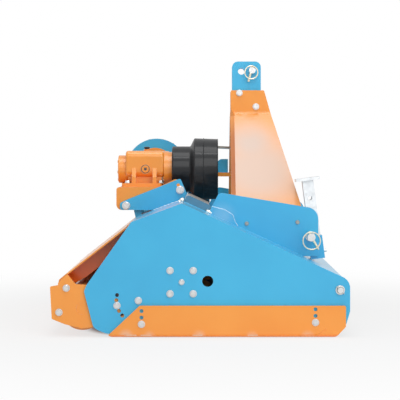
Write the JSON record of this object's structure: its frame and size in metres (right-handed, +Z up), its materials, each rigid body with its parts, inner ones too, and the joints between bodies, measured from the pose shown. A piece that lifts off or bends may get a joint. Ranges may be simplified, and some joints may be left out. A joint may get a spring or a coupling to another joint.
{
  "type": "tractor mulcher",
  "caption": "Rear three-point-hitch flail mulcher with side belt drive, hammer rotor, rear roller, hinged rear door and swinging front flaps.",
  "frame": {"origin": "middle of the machine's overall length and width, on the ground under the skids", "axes": "+X to the tractor, +Y to the machine's left where the belt cover is, +Z up"},
  "size_m": [1.0268, 1.376, 0.976],
  "materials": {
    "blue_paint": "glossy powder coat",
    "orange_paint": "glossy powder coat",
    "black_paint": "satin black paint",
    "black_plastic": "moulded gloss",
    "zinc_steel": "bright zinc plate",
    "dark_steel": "dark mill finish",
    "galvanised_steel": "galvanised"
  },
  "bodies": {
    "frame": {"side_plate_left": "blue_paint", "side_plate_right": "blue_paint", "hood_sheet": "blue_paint", "hinge_rod": "zinc_steel", "skid_left": "orange_paint", "skid_right": "orange_paint", "bearing_left": "dark_steel", "bearing_right": "dark_steel", "scraper": "orange_paint", "roller_arm_left": "orange_paint", "roller_arm_right": "orange_paint", "flap_rod": "zinc_steel", "gearbox": "orange_paint", "gearbox_carrier": "orange_paint", "bracket_left": "blue_paint", "bracket_right": "blue_paint", "cross_tube": "orange_paint", "stub_guard": "black_plastic", "belt_cover": "blue_paint", "belt_back_plate": "blue_paint", "hitch_plate_left": "blue_paint", "hitch_plate_right": "blue_paint", "link_pin_left": "zinc_steel", "link_pin_right": "zinc_steel", "mast_ear_left": "blue_paint", "mast_ear_right": "blue_paint", "top_link_pin": "zinc_steel", "mast_leg_left": "orange_paint", "mast_leg_right": "orange_paint", "mast_tie": "orange_paint", "drive_stay": "orange_paint", "stay_plate": "blue_paint", "hood_beam_left": "blue_paint", "hood_beam_right": "blue_paint", "stand_socket": "blue_paint", "stand_clamp": "zinc_steel"},
    "rotor": {"rotor_tube": "orange_paint", "rotor_shafts": "dark_steel", "hammers": "dark_steel", "hammer_pins": "zinc_steel"},
    "input_stub": {"input_stub": "dark_steel"},
    "rear_roller": {"rear_roller": "orange_paint"},
    "rear_door": {"rear_door": "orange_paint"},
    "front_flaps": {"front_flaps": "black_paint"},
    "parking_stand": {"parking_stand": "galvanised_steel"}
  },
  "joints": [
    {"name": "rotor_spin", "type": "hinge", "parent": "frame", "child": "rotor", "pos_m": [-0.0625, -0.047, 0.188], "axis": [0, 1, 0], "continuous": true},
    {"name": "input_spin", "type": "hinge", "parent": "frame", "child": "input_stub", "pos_m": [-0.0625, -0.047, 0.566], "axis": [1, 0, 0], "continuous": true},
    {"name": "roller_spin", "type": "hinge", "parent": "frame", "child": "rear_roller", "pos_m": [-0.4035, -0.047, 0.097], "axis": [0, 1, 0], "continuous": true},
    {"name": "rear_door_hinge", "type": "hinge", "parent": "frame", "child": "rear_door", "pos_m": [-0.2405, -0.047, 0.373], "axis": [0, 1, 0], "range_deg": [0, 50]},
    {"name": "front_flaps_swing", "type": "hinge", "parent": "frame", "child": "front_flaps", "pos_m": [0.4795, -0.047, 0.161], "axis": [0, 1, 0], "range_deg": [0, 75]},
    {"name": "parking_stand_slide", "type": "slide", "parent": "frame", "child": "parking_stand", "axis": [-0.1305, 0, 0.9914], "range_m": [0, 0.06]}
  ],
  "couplings": [
    {"joint": "input_spin", "follows": "rotor_spin", "ratio": -0.25}
  ]
}
